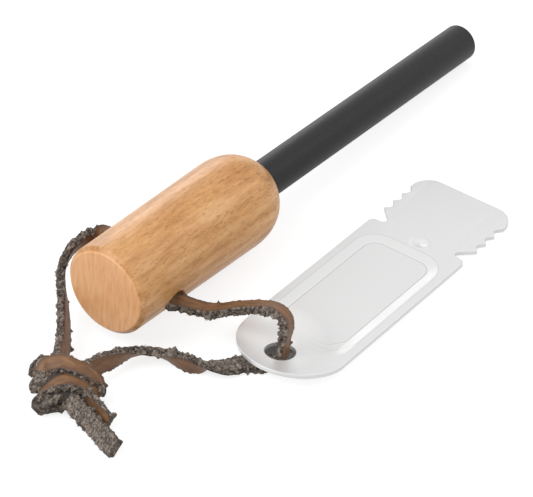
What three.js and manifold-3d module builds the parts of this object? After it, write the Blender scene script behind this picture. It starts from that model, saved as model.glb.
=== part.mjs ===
// Ferro rod fire starter: a ferrocerium rod glued into a turned beech handle, and a pressed steel
// striker tied to it by one leather lace. Millimetres, +Z up. It lies as it was put down: the handle
// rests on the shoulder of its nose, the rod on its tip, and the striker beside them on the lace.

import * as THREE from 'three';
import { mergeVertices } from 'three/addons/utils/BufferGeometryUtils.js';
import Module from 'manifold-3d';

const wasm = await Module();
wasm.setup();

// Fits that all the pieces share
const clearance = 0.3;
const overrun = 1;
const weldDistance = 0.0001;

// Ferrocerium rod
const rodDiameter = 8;
const rodShown = 72;
const rodSeat = 25;
const rodChamfer = 0.4;
const rodSides = 32;

// Beech handle, turned round its own axis
const handleLength = 47;
const buttDiameter = 18.6;
const shoulderDiameter = 19.5;
const buttEdge = 1.2;
const noseLength = 10;
const noseLip = 0.2;
const handleSides = 48;
const noseSteps = 8;
const edgeSteps = 3;

// Glue left in the drill point below the rod
const glueDepth = 1.2;
const drillPointAngle = THREE.MathUtils.degToRad(118);

// Leather lace, a flat strip
const laceWidth = 3.5;
const laceThickness = 1.6;
const laceEdge = 0.35;
const laceStep = 3.2;
const laceLead = 1.4;

// Hole for the lace across the handle, rolled about the handle's axis
const crossHoleFromButt = 10.6;
const crossHoleDiameter = 5;
const crossHoleRoll = THREE.MathUtils.degToRad(25);

// Pressed steel striker, a round near end and a toothed far end
const strikerLength = 70;
const strikerWidth = 22.7;
const sheet = 1;
const strikerHoleDiameter = 6;
const strikerHoleFromTip = 6.4;
const strikerCorner = 4.4;
const strikerTip = new THREE.Vector2(8.6, -30.1);

// The near end is bent up from the panel's near rim on, by so much at the tip
const strikerBend = 1.35;

// Round-bottomed notch on each long edge, placed from the far end
const notchFromEnd = 18.4;
const notchDepth = 3;
const notchFloor = 1;
const notchShoulder = 1.2;
const notchFlank = THREE.MathUtils.degToRad(48);

// Scraping teeth, as many as fit between the notch and the far corner
const toothPitch = 3.1;
const toothDepth = 1;
const toothFloor = 0.8;

// Pressed panel between the hole and the notch, sunk on the upper side and raised on the lower one
const panelFromHole = 0.3;
const panelFromNotch = 3;
const panelWidth = 19.6;
const panelDepth = 0.5;
const panelCorner = 5.4;
const panelWall = 2.4;
const panelRamp = 5;

// Small dimple between the notches, just past the panel and a little to one side
const dimpleDiameter = 2.6;
const dimpleDepth = 0.35;
const dimpleFromPanel = 0.7;
const dimpleAside = -1.2;

// Knot that ties the two ends of the lace
const knotLength = 13.6;
const knotWidth = 13;
const knotHeight = 7.8;
const knotPlace = new THREE.Vector2(-16.7, -4.7);

// Points round a quarter turn, or any other arc, of an outline
const arcSteps = 6;

// The lace's straight way down through the striker's hole, beside the hole's middle
const dropFromHole = new THREE.Vector2(0.6, -0.9);
const dropGrain = new THREE.Vector3(0.4, -0.92, 0);

// The lace's route from the handle's hole over to the striker's hole, from the striker's hole to
// the knot, from the handle's other mouth round the butt to the knot, and its two loose ends.
// Each row is a point on the lace's middle and the way that its smooth grain side faces there.
const overRoute = [
  [10.9, -9.75, 7.45, 0.11, -0.21, 0.97],
  [11.9, -11.9, 6.9, 0.15, -0.12, 0.98],
  [12.7, -13.8, 6.7, 0.11, 0.05, 0.99],
  [13.7, -15.9, 6.9, 0.09, 0.25, 0.96],
  [15.2, -18.3, 7.6, 0.09, 0.39, 0.92],
  [15.9, -21.1, 8.9, 0.12, 0.44, 0.89],
  [16.2, -23.8, 10.2, 0.14, 0.44, 0.89],
  [16.2, -26.3, 11.4, 0.21, 0.35, 0.91],
  [16.0, -28.6, 12.1, 0.31, 0.02, 0.95],
  [15.9, -30.4, 11.6, 0.35, -0.59, 0.73],
  [15.8, -31.2, 10.1, 0.24, -0.94, 0.25],
  [15.6, -31.3, 8.5, 0.2, -0.98, -0.05],
];
const underRoute = [
  [12.9, -28.6, 0.83, 0, 0, -1],
  [11.1, -26.4, 0.86, 0, 0, -1],
  [10.0, -25.2, 0.95, 0, 0, -1],
  [8.4, -24.3, 1.1, 0, 0, -1],
  [6.9, -23.6, 1.4, -0.24, 0.03, -0.97],
  [5.8, -22.4, 1.8, -0.36, -0.09, -0.93],
  [4.8, -21.1, 2.0, -0.49, -0.33, -0.81],
  [3.7, -19.9, 2.0, -0.81, -0.45, -0.37],
  [3.0, -18.1, 2.1, -0.96, -0.27, -0.06],
  [2.6, -15.9, 2.1, -0.97, -0.15, -0.18],
  [2.4, -14.2, 2.2, -0.9, -0.16, -0.4],
  [1.9, -12.4, 2.3, -0.74, -0.24, -0.63],
  [0.8, -10.3, 2.5, -0.54, -0.28, -0.8],
  [-0.7, -8.7, 2.8, -0.51, -0.48, -0.71],
  [-2.3, -7.8, 3.0, -0.38, -0.74, -0.55],
  [-4.4, -7.2, 3.3, -0.3, -0.92, -0.23],
  [-6.6, -6.6, 3.6, -0.25, -0.96, 0.1],
  [-8.3, -6.2, 3.8, -0.15, -0.95, 0.28],
  [-10.1, -5.9, 4.0, -0.1, -0.92, 0.38],
  [-12.2, -5.2, 4.0, -0.1, -0.92, 0.38],
];
const buttRoute = [
  [10.4, 10.8, 15.1, -0.1, -0.8, 0.55],
  [9.2, 11.9, 14.5, -0.25, -0.95, 0],
  [7.7, 12.6, 13.3, -0.14, -0.91, -0.4],
  [6.0, 13.1, 12.1, 0.14, -0.92, -0.37],
  [3.9, 13.0, 10.8, 0.37, -0.88, -0.29],
  [1.9, 12.4, 9.0, 0.6, -0.78, -0.18],
  [0.0, 10.8, 7.3, 0.66, -0.75, 0.01],
  [-1.9, 9.0, 5.8, 0.6, -0.77, 0.21],
  [-4.5, 6.6, 4.6, 0.58, -0.75, 0.32],
  [-8.2, 3.5, 4.2, 0.56, -0.74, 0.37],
  [-11.5, 1.1, 4.3, 0.54, -0.73, 0.41],
];
const frontEndRoute = [
  [-18.3, -3.2, 4.2, 0.75, 0.2, -0.6],
  [-18.9, -6.3, 3.4, 0.77, 0.15, -0.62],
  [-19.3, -8.2, 2.7, 0.77, 0.11, -0.63],
  [-19.7, -10.2, 2.1, 0.72, -0.09, -0.68],
  [-20.6, -13.1, 1.9, 0.7, -0.22, -0.68],
  [-21.5, -16.1, 1.9, 0.69, -0.24, -0.68],
  [-22.6, -19.1, 1.9, 0.7, -0.26, -0.66],
  [-23.5, -21.6, 1.93, 0.74, -0.27, -0.62],
];
const backEndRoute = [
  [-16.2, -4.6, 4.2, -0.93, 0.3, -0.2],
  [-16.5, -8.4, 3.8, -0.93, 0.29, -0.24],
  [-17.0, -10.2, 3.2, -0.93, 0.27, -0.26],
  [-17.5, -12.1, 2.7, -0.93, 0.23, -0.29],
  [-17.8, -14.1, 2.3, -0.92, 0.24, -0.3],
  [-18.3, -15.9, 2.2, -0.93, 0.26, -0.27],
];

// Sizes that follow from the ones above
const rodLength = rodShown + rodSeat;
const boreRadius = rodDiameter / 2 + clearance;
const boreFloor = handleLength - rodSeat - clearance - glueDepth;
const pointSlope = Math.tan(drillPointAngle / 2);
const shoulderFromButt = handleLength - noseLength;
const handleTilt = Math.asin((shoulderDiameter - rodDiameter) / 2 / (handleLength + rodShown - shoulderFromButt));
const buttHeight = rodDiameter / 2 * Math.cos(handleTilt) + (handleLength + rodShown) * Math.sin(handleTilt);
const strikerRise = (laceThickness + clearance) * strikerLength / (strikerLength - strikerHoleFromTip);
const strikerTilt = Math.asin(strikerRise / strikerLength);
const notchFromTip = strikerLength - notchFromEnd;
const toothStart = notchFromTip + notchFloor * (1 + Math.sin(notchFlank))
  + (notchDepth - notchFloor * (1 - Math.cos(notchFlank))) / Math.tan(notchFlank);
const toothGaps = Math.floor((strikerLength - strikerCorner - toothStart) / toothPitch);
const panelNear = strikerHoleFromTip + strikerHoleDiameter / 2 + panelFromHole;
const panelFar = notchFromTip - panelFromNotch;
const dimpleFromTip = panelFar + dimpleFromPanel + dimpleDiameter / 2;
const bendAtHole = strikerBend * (1 - strikerHoleFromTip / panelNear);

// Solid and mesh helpers

// The closed solid inside a three.js geometry, with its seams welded and its flat triangles dropped
function solid(geometry) {
  const bare = geometry.clone();
  bare.deleteAttribute('normal');
  bare.deleteAttribute('uv');
  const welded = mergeVertices(bare, weldDistance);
  const corners = Array.from(welded.index.array);
  const kept = [];
  for (let i = 0; i < corners.length; i += 3) {
    const [a, b, c] = corners.slice(i, i + 3);
    if (a !== b && b !== c && c !== a) {
      kept.push(a, b, c);
    }
  }
  return new wasm.Manifold(new wasm.Mesh({
    numProp: 3,
    vertProperties: Float32Array.from(welded.attributes.position.array),
    triVerts: Uint32Array.from(kept),
  }));
}

// A named mesh from a solid, in its own material
function piece(name, shape, colour, roughness, metalness) {
  const { numProp, vertProperties, triVerts } = shape.getMesh();
  const geometry = new THREE.BufferGeometry();
  geometry.setAttribute('position', new THREE.BufferAttribute(vertProperties, numProp));
  geometry.setIndex(new THREE.BufferAttribute(triVerts, 1));
  geometry.computeVertexNormals();
  const mesh = new THREE.Mesh(geometry, new THREE.MeshStandardMaterial({ color: colour, roughness, metalness }));
  mesh.name = name;
  return mesh;
}

// A solid of revolution about +X, from a profile of [along, radius] pairs
function turned(profile, sides) {
  const points = profile.map(([along, radius]) => new THREE.Vector2(radius, along));
  return solid(new THREE.LatheGeometry(points, sides).rotateZ(-Math.PI / 2));
}

// Points on an arc of an outline, as [x, y] pairs
function arc(x, y, radius, from, to) {
  const points = [];
  for (let i = 0; i <= arcSteps; i += 1) {
    const turn = from + (to - from) * i / arcSteps;
    points.push([x + radius * Math.cos(turn), y + radius * Math.sin(turn)]);
  }
  return points;
}

// A closed solid through level rings of one convex outline each, lowest first
function stacked(rings) {
  const count = rings[0].outline.length;
  const positions = rings.flatMap(({ outline, z }) => outline.flatMap(([x, y]) => [x, y, z]));
  const faces = [];
  for (let level = 0; level + 1 < rings.length; level += 1) {
    for (let i = 0; i < count; i += 1) {
      const a = level * count + i;
      const b = level * count + (i + 1) % count;
      faces.push(a, b, b + count, a, b + count, a + count);
    }
  }
  const top = (rings.length - 1) * count;
  for (let i = 1; i + 1 < count; i += 1) {
    faces.push(0, i + 1, i, top, top + i, top + i + 1);
  }
  const geometry = new THREE.BufferGeometry();
  geometry.setAttribute('position', new THREE.Float32BufferAttribute(positions, 3));
  geometry.setIndex(faces);
  return solid(geometry);
}

// Handle: a tapering barrel with a softened butt, an oval nose, a blind bore for the rod and a
// hole across it for the lace
function handleShape() {
  const buttRadius = buttDiameter / 2;
  const noseRadius = shoulderDiameter / 2;
  const lipRadius = boreRadius + noseLip;
  const profile = [[0, 0]];
  for (let i = 0; i <= edgeSteps; i += 1) {
    const turn = Math.PI / 2 * i / edgeSteps;
    profile.push([buttEdge * (1 - Math.cos(turn)), buttRadius - buttEdge * (1 - Math.sin(turn))]);
  }
  const noseEnd = Math.acos(lipRadius / noseRadius);
  for (let i = 0; i <= noseSteps; i += 1) {
    const turn = noseEnd * i / noseSteps;
    const along = noseLength * Math.sin(turn) / Math.sin(noseEnd);
    profile.push([shoulderFromButt + along, noseRadius * Math.cos(turn)]);
  }
  profile.push([handleLength, boreRadius], [boreFloor, boreRadius], [boreFloor - boreRadius / pointSlope, 0]);
  const reach = shoulderDiameter + 2 * overrun;
  const hole = new THREE.CylinderGeometry(crossHoleDiameter / 2, crossHoleDiameter / 2, reach, rodSides);
  hole.rotateX(crossHoleRoll).translate(crossHoleFromButt, 0, 0);
  return turned(profile, handleSides).subtract(solid(hole));
}

// Ferrocerium rod with both ends chamfered
function rodShape() {
  const radius = rodDiameter / 2;
  const start = handleLength - rodSeat;
  const end = start + rodLength;
  return turned([
    [start, 0],
    [start, radius - rodChamfer],
    [start + rodChamfer, radius],
    [end - rodChamfer, radius],
    [end, radius - rodChamfer],
    [end, 0],
  ], rodSides);
}

// Glue in the bottom of the bore, clear of the wood and of the rod's end by the same gap
function glueShape() {
  const radius = boreRadius - clearance;
  const point = boreFloor - boreRadius / pointSlope + clearance / Math.sin(drillPointAngle / 2);
  return turned([
    [point, 0],
    [point + radius / pointSlope, radius],
    [boreFloor + glueDepth, radius],
    [boreFloor + glueDepth, 0],
  ], rodSides);
}

// One long edge of the striker, as [from the tip, in from the edge] pairs, from the near end's
// round to the far end's corner
function strikerEdge() {
  const quarter = Math.PI / 2;
  const floorX = notchFromTip + notchFloor;
  const floorArc = arc(floorX, notchDepth - notchFloor, notchFloor, 2 * quarter, quarter - notchFlank);
  const teeth = [];
  for (let i = 0; i < toothGaps; i += 1) {
    const tip = toothStart + i * toothPitch;
    const middle = tip + toothPitch / 2;
    teeth.push([tip, 0], [middle - toothFloor / 2, toothDepth], [middle + toothFloor / 2, toothDepth]);
  }
  return [
    ...arc(notchFromTip - notchShoulder, notchShoulder, notchShoulder, -quarter, 0),
    ...floorArc,
    ...teeth,
    [toothStart + toothGaps * toothPitch, 0],
    ...arc(strikerLength - strikerCorner, strikerCorner, strikerCorner, -quarter, 0),
  ];
}

// Level outline of the pressed panel, drawn in from its rim by a share of its sloping walls
function panelOutline(inset) {
  const radius = panelCorner - panelWall * inset;
  const near = panelNear + panelRamp * inset;
  const far = panelFar - panelWall * inset;
  const half = panelWidth / 2 - panelWall * inset;
  const quarter = Math.PI / 2;
  return [
    ...arc(far - radius, half - radius, radius, 0, quarter),
    ...arc(near + radius, half - radius, radius, quarter, 2 * quarter),
    ...arc(near + radius, radius - half, radius, 2 * quarter, 3 * quarter),
    ...arc(far - radius, radius - half, radius, 3 * quarter, 4 * quarter),
  ];
}

// The striker's sheet seen from the side, across the blank, with its bent near end
function strikerSide() {
  const slope = strikerBend / panelNear;
  const start = strikerBend + slope * overrun;
  const far = strikerLength + overrun;
  const side = new THREE.Shape([
    [-overrun, start],
    [panelNear, 0],
    [far, 0],
    [far, sheet],
    [panelNear, sheet],
    [-overrun, start + sheet],
  ].map(([x, z]) => new THREE.Vector2(x, z)));
  const width = strikerWidth + 2 * overrun;
  const slab = new THREE.ExtrudeGeometry(side, { depth: width, bevelEnabled: false });
  return slab.rotateX(Math.PI / 2).translate(0, width / 2, 0);
}

// Striker: a blanked and pressed sheet, lying along +X from its round tip with its underside on z = 0
function strikerShape() {
  const half = strikerWidth / 2;
  const edge = strikerEdge();
  const outline = new THREE.Shape([
    ...edge.map(([x, inset]) => new THREE.Vector2(x, inset - half)),
    ...edge.map(([x, inset]) => new THREE.Vector2(x, half - inset)).reverse(),
  ]);
  outline.absarc(half, 0, half, Math.PI / 2, 3 * Math.PI / 2);
  const height = strikerBend + sheet + 2 * overrun;
  const blank = new THREE.ExtrudeGeometry(outline, {
    depth: height, bevelEnabled: false, curveSegments: rodSides / 2,
  });
  blank.translate(0, 0, -overrun);
  const hole = new THREE.CylinderGeometry(strikerHoleDiameter / 2, strikerHoleDiameter / 2, height, rodSides);
  hole.rotateX(Math.PI / 2).translate(strikerHoleFromTip, 0, height / 2 - overrun);
  const dimple = new THREE.CylinderGeometry(dimpleDiameter / 2, 0, dimpleDepth, rodSides / 2);
  dimple.rotateX(Math.PI / 2).translate(dimpleFromTip, dimpleAside, sheet - dimpleDepth / 2);
  const sunk = stacked([
    { outline: panelOutline(1), z: sheet - panelDepth },
    { outline: panelOutline(0), z: sheet },
    { outline: panelOutline(0), z: sheet + overrun },
  ]);
  const raised = stacked([
    { outline: panelOutline(1), z: -panelDepth },
    { outline: panelOutline(0), z: 0 },
    { outline: panelOutline(0), z: (sheet - panelDepth) / 2 },
  ]);
  const bent = solid(blank).intersect(solid(strikerSide()));
  return bent.add(raised).subtract(sunk).subtract(solid(hole)).subtract(solid(dimple));
}

// The lace's middle line, with the way its grain side faces carried along it
class LaceLine extends THREE.CatmullRomCurve3 {
  constructor(rows) {
    super(rows.map(([x, y, z]) => new THREE.Vector3(x, y, z)));
    this.grain = rows.map((row) => new THREE.Vector3(...row.slice(3)).normalize());
  }

  computeFrenetFrames(segments) {
    const frames = { tangents: [], normals: [], binormals: [] };
    const last = this.grain.length - 1;
    for (let i = 0; i <= segments; i += 1) {
      const place = this.getUtoTmapping(i / segments) * last;
      const before = Math.min(Math.floor(place), last - 1);
      const tangent = this.getTangentAt(i / segments);
      const normal = this.grain[before].clone().lerp(this.grain[before + 1], place - before);
      normal.addScaledVector(tangent, -normal.dot(tangent)).normalize();
      frames.tangents.push(tangent);
      frames.normals.push(normal);
      frames.binormals.push(tangent.clone().cross(normal));
    }
    return frames;
  }
}

// A run of lace along a route: its flat section, with broken corners, swept along the line
function laceRun(rows) {
  const line = new LaceLine(rows);
  const thick = laceThickness / 2;
  const wide = laceWidth / 2;
  const section = new THREE.Shape([
    [thick, laceEdge - wide],
    [thick, wide - laceEdge],
    [thick - laceEdge, wide],
    [laceEdge - thick, wide],
    [-thick, wide - laceEdge],
    [-thick, laceEdge - wide],
    [laceEdge - thick, -wide],
    [thick - laceEdge, -wide],
  ].map(([x, y]) => new THREE.Vector2(x, y)));
  const steps = Math.max(1, Math.round(line.getLength() / laceStep));
  return solid(new THREE.ExtrudeGeometry(section, { steps, extrudePath: line, bevelEnabled: false }));
}

// Knot: the pulled-up bundle of the lace's two ends, as a rounded lump grown by a margin
function knotShape(margin) {
  const lump = new THREE.SphereGeometry(1, rodSides / 2, arcSteps * 2);
  lump.scale(knotLength / 2 + margin, knotWidth / 2 + margin, knotHeight / 2 + margin);
  lump.translate(knotPlace.x, knotPlace.y, knotHeight / 2);
  return solid(lump);
}

// Colours and finishes
const beech = [0xd9ab78, 0.55, 0];
const darkRod = [0x3f3f42, 0.5, 0.3];
const glue = [0xcdbf9a, 0.4, 0];
const steel = [0xc9cacb, 0.3, 1];
const leather = [0x7a5638, 0.8, 0];

// Handle, rod and glue, tilted until the nose's shoulder and the rod's tip touch the ground
const handleAndRod = new THREE.Group();
handleAndRod.rotation.y = handleTilt;
handleAndRod.position.z = buttHeight;
handleAndRod.add(
  piece('handle', handleShape(), ...beech),
  piece('ferro_rod', rodShape(), ...darkRod),
  piece('rod_glue', glueShape(), ...glue),
);

// Striker, its near end up on the lace and its far end on the ground
const strikerPlace = new THREE.Group();
strikerPlace.position.set(strikerTip.x, strikerTip.y, strikerRise);
strikerPlace.rotation.y = strikerTilt;
strikerPlace.add(piece('striker', strikerShape(), ...steel));

// Where the lace runs straight: through the handle's hole and down through the striker's
handleAndRod.updateMatrix();
const holeMiddle = new THREE.Vector3(crossHoleFromButt, 0, 0).applyMatrix4(handleAndRod.matrix);
const holeWay = new THREE.Vector3(0, Math.cos(crossHoleRoll), Math.sin(crossHoleRoll));
const holeGrain = new THREE.Vector3(0, -Math.sin(crossHoleRoll), Math.cos(crossHoleRoll));
holeWay.transformDirection(handleAndRod.matrix);
holeGrain.transformDirection(handleAndRod.matrix);
const holeHalf = buttDiameter / 2 - laceThickness;

// A row of the route on the line of the handle's hole, so far from its middle
function onHole(distance) {
  const point = holeMiddle.clone().addScaledVector(holeWay, distance);
  return [...point.toArray(), ...holeGrain.toArray()];
}

const dropX = strikerTip.x + strikerHoleFromTip + dropFromHole.x;
const dropY = strikerTip.y + dropFromHole.y;
const dropBottom = laceThickness + clearance;
const dropTop = strikerRise + bendAtHole + sheet + laceThickness / 2;

// A row of the route on the upright through the striker's hole, at one height
function onDrop(z) {
  return [dropX, dropY, z, ...dropGrain.toArray()];
}

const knotGap = knotShape(clearance);
const outside = holeHalf + clearance;
const overEnds = [
  [onHole(-outside), onHole(-outside - laceLead)],
  [onDrop(dropTop + clearance + laceLead), onDrop(dropTop + clearance)],
];
const underStart = [
  dropX + dropGrain.x * laceThickness / 2, dropY + dropGrain.y * laceThickness / 2, laceThickness / 2, 0, 0, -1,
];
const buttStart = [onHole(outside), onHole(outside + laceLead)];
const laces = {
  lace_in_handle: laceRun([onHole(-holeHalf), onHole(holeHalf)]),
  lace_over_striker: laceRun([...overEnds[0], ...overRoute, ...overEnds[1]]),
  lace_in_striker: laceRun([onDrop(dropTop), onDrop(dropBottom)]),
  lace_under_striker: laceRun([underStart, ...underRoute]).subtract(knotGap),
  lace_round_butt: laceRun([...buttStart, ...buttRoute]).subtract(knotGap),
  lace_knot: knotShape(0),
  lace_end_front: laceRun(frontEndRoute).subtract(knotGap),
  lace_end_back: laceRun(backEndRoute).subtract(knotGap),
};
const laceGroup = new THREE.Group();
for (const [name, shape] of Object.entries(laces)) {
  laceGroup.add(piece(name, shape, ...leather));
}

// The whole tool, with its origin on the ground under the middle of the rigid pieces
const tool = new THREE.Group();
const laid = new THREE.Group();
laid.add(handleAndRod, strikerPlace, laceGroup);
tool.add(laid);
const rigid = new THREE.Box3();
rigid.expandByObject(handleAndRod, true).expandByObject(strikerPlace, true);
const middle = rigid.getCenter(new THREE.Vector3());
laid.position.set(-middle.x, -middle.y, -rigid.min.z);

export default tool;
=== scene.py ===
# %% [markdown]
# # A ferro rod fire starter, dressed in Blender
#
# The tool lies on a white table: a charcoal rod in a beech handle, a pressed steel striker, and a
# leather lace that ties the two together. The frame comes from the CAD model, so every piece here is
# made in the same place and at the same size, and then rides on one of the frame's bodies.

import math
import random

import bmesh
import bpy
from mathutils import Matrix, Vector, noise
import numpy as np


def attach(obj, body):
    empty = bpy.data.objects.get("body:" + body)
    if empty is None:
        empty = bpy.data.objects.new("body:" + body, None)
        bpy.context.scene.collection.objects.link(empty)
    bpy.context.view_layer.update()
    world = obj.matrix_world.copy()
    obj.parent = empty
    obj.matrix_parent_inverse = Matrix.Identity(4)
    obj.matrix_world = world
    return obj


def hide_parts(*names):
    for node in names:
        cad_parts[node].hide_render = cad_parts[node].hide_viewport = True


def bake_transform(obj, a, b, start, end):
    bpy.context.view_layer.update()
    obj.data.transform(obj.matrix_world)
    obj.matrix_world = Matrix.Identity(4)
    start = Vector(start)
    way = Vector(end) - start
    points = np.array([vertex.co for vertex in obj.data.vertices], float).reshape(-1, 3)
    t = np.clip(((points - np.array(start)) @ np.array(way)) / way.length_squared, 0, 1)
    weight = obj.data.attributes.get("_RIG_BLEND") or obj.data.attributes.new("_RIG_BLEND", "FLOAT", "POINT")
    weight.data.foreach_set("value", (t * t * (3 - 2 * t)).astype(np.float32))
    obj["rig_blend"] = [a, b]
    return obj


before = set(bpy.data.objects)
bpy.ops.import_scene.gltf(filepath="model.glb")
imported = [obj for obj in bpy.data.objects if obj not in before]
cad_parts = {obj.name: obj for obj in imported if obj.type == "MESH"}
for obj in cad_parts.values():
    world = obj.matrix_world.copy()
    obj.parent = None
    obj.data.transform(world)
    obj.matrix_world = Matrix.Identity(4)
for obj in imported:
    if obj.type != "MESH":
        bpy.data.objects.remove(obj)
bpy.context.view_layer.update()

# %% [markdown]
# The pieces are laid out on a bench, in millimetres: the handle's butt stands over zero and the rod
# points along +X. One function turns a bench point into metres in the frame.

# %% Bench
MM = 0.001
BENCH = Vector((-59.1958, 15.85, 0.003))


def at(x, y, z):
    return (Vector((x, y, z)) + BENCH) * MM


def nothing_selected():
    if bpy.context.object and bpy.context.object.mode != "OBJECT":
        bpy.ops.object.mode_set(mode="OBJECT")
    bpy.ops.object.select_all(action="DESELECT")


def made(name):
    """The object that an operator has just made, under its own name."""
    bpy.context.object.name = name
    return bpy.context.object


# %% [markdown]
# ## Camera
#
# A product photographer stands well back with a long lens, so the rod hardly narrows towards its
# tip. The camera looks down at about 39 degrees, from beyond the handle's butt.

# %% Camera
FOCAL_PIXELS, PICTURE_PIXELS, SENSOR = 2690.6, 533, 36
eye, looked_at = at(-286.65, -259.83, 338.91), at(40.82, -6.98, 0)
bpy.ops.object.camera_add(location=eye, rotation=(looked_at - eye).to_track_quat("-Z", "Y").to_euler())
camera = made("Camera")
camera.data.sensor_width = SENSOR
camera.data.lens = FOCAL_PIXELS / PICTURE_PIXELS * SENSOR
camera.data.clip_start, camera.data.clip_end = 0.01, 10
bpy.context.scene.camera = camera
print("lens", round(camera.data.lens, 1), "mm, distance", round((looked_at - eye).length, 3), "m")

# %% [markdown]
# ## Leather lace
#
# The lace is a strip cut from thick oiled leather. Its grain side is smooth and brown. Its cut
# edges and its flesh side are grey and hairy, because there the fibres are torn open. Each run is a
# flat section carried along a smooth line. A row of its route gives a point and the way that the
# grain side faces. The CAD's long runs have nearly the same points.
#
# Each point of the section is given as its height towards the grain side, its place across, and how
# raw the leather is there, from 0 on the grain side to 1 on the torn sides.

# %% The lace's section
LACE_WIDTH, LACE_THICKNESS, LACE_CORNER = 3.5, 1.6, 0.3
RING_STEP = 0.2


def lace_section():
    t, w, c = LACE_THICKNESS / 2, LACE_WIDTH / 2, LACE_CORNER
    points = []

    def straight(start, end, count, raw):
        for i in range(count):
            share = i / (count - 1)
            points.append((*(a + (b - a) * share for a, b in zip(start, end)), raw))

    def corner(up, across, start, raws):
        for i, raw in enumerate(raws):
            turn = math.radians(start + 30 + 30 * i)
            points.append((up + c * math.cos(turn), across + c * math.sin(turn), raw))

    straight((t, c - w), (t, w - c), 9, 0)
    corner(t - c, w - c, 0, (0.3, 0.8))
    straight((t - c, w), (c - t, w), 6, 1)
    corner(c - t, w - c, 90, (1, 1))
    straight((-t, w - c), (-t, c - w), 13, 1)
    corner(c - t, c - w, 180, (1, 1))
    straight((c - t, -w), (t - c, -w), 6, 1)
    corner(t - c, c - w, 270, (0.8, 0.3))
    return points


SECTION = lace_section()
print("section points", len(SECTION))

# %% [markdown]
# A Catmull-Rom curve goes smoothly through a route's rows. It is cut into even steps of a fifth of
# a millimetre, short enough for the lumps of the torn edges.

# %% A smooth line through rows


def smooth_line(rows, closed=False):
    """Even places along the curve through the rows, as (point, way of the grain side, distance)."""
    points = [at(*row[:3]) / MM for row in rows]
    grain = [Vector(row[3:]).normalized() for row in rows]
    count, cuts = len(rows), 24
    fine, ways = [], []
    for i in range(count if closed else count - 1):
        b, c = points[i], points[(i + 1) % count]
        a = points[i - 1] if closed or i else b * 2 - c
        d = points[(i + 2) % count] if closed or i + 2 < count else c * 2 - b
        for k in range(cuts):
            t = k / cuts
            fine.append(0.5 * (2 * b + (c - a) * t + (2 * a - 5 * b + 4 * c - d) * t * t
                               + (3 * b - a - 3 * c + d) * t ** 3))
            ways.append(grain[i].lerp(grain[(i + 1) % count], t))
    fine.append(fine[0] if closed else points[-1])
    ways.append(ways[0] if closed else grain[-1])
    along = [0]
    for p, q in zip(fine, fine[1:]):
        along.append(along[-1] + (q - p).length)
    steps = max(8, round(along[-1] / RING_STEP))
    line, k = [], 0
    for i in range(steps + 1):
        want = along[-1] * i / steps
        while k + 2 < len(along) and along[k + 1] < want:
            k += 1
        t = (want - along[k]) / max(along[k + 1] - along[k], 1e-9)
        line.append((fine[k].lerp(fine[k + 1], t), ways[k].lerp(ways[k + 1], t), want))
    return line


# %% [markdown]
# Noise pushes the torn sides out in clumps of fibre. Turbulence made from the noise's absolute value
# suits them: it has round bumps with sharp valleys between, as matted fibre has. A few places along
# each run get a longer tuft, where the knife has pulled fibre out.

# %% Clumps and tufts
CLUMPS_PER_MM, CLUMP_HEIGHT = 0.8, 0.95
# How far a clump stands out and how far a valley lies in, on the cut edges and on the flesh side.
EDGE_FRAY, FLESH_FRAY = (0.62, 0.2), (0.3, 0.1)
FLESH_BELOW, FLESH_HALF = -0.7, 1.35
TUFT_EVERY, TUFT_TALL = 2.5, (0.25, 0.6)
# Squares of a tuft's half widths, along and across.
TUFT_LONG, TUFT_WIDE = 0.09, 0.12


def clumps(spot):
    """Height of the torn fibre at a place in millimetres, from 0 in the valleys to 1."""
    bumps = noise.turbulence(spot * CLUMPS_PER_MM, 3, True, amplitude_scale=0.6, frequency_scale=2.1)
    return min(1.0, bumps * CLUMP_HEIGHT)


def chance_tufts(total, seed):
    """Tufts along a run, as (distance along, edge, height)."""
    dice = random.Random(int(seed * 10))
    count = int(total / TUFT_EVERY)
    return [(dice.uniform(0, total), dice.choice((-1, 1)), dice.uniform(*TUFT_TALL)) for _ in range(count)]


def torn_out(along, up, across, raw, seed, tufts):
    """How far the fibre stands out of a point of the section, and how high its clump is."""
    height = clumps(Vector((along + seed * 3, across, up * 1.3 + seed)))
    on_flesh = up < FLESH_BELOW and abs(across) < FLESH_HALF
    stand, sink = FLESH_FRAY if on_flesh else EDGE_FRAY
    out = raw * (height * stand - sink)
    for where, edge, tall in tufts:
        near = (along - where) ** 2 / TUFT_LONG + (across - edge * LACE_WIDTH / 2) ** 2 / TUFT_WIDE
        if near < 4:
            out += raw * tall * math.exp(-near)
            height = max(height, raw * math.exp(-near) * 0.8)
    return out, height


# %% [markdown]
# Faces join the rings, and the UV map keeps the distance along and round the lace, from the middle
# of the grain side. An open end is closed with one ring drawn in and a hub, as raw as its cut.

# %% Skin and ends


def join_rings(shape, rings, along, closed):
    uv = shape.loops.layers.uv["lace"]
    around = [0.0]
    for (a, b, _), (c, d, _) in zip(SECTION, SECTION[1:] + SECTION[:1]):
        around.append(around[-1] + math.hypot(c - a, d - b))
    middle, count = LACE_WIDTH / 2 - LACE_CORNER, len(SECTION)
    for i in range(len(rings) if closed else len(rings) - 1):
        here, there = rings[i], rings[(i + 1) % len(rings)]
        for k in range(count):
            n = (k + 1) % count
            face = shape.faces.new((here[k], here[n], there[n], there[k]))
            far_side = around[-1] if around[k] - middle > around[-1] / 2 else 0
            for loop, (u, v) in zip(face.loops, [(i, k), (i, k + 1), (i + 1, k + 1), (i + 1, k)]):
                loop[uv].uv = (along[u] * MM, (around[v] - middle - far_side) * MM)


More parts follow.
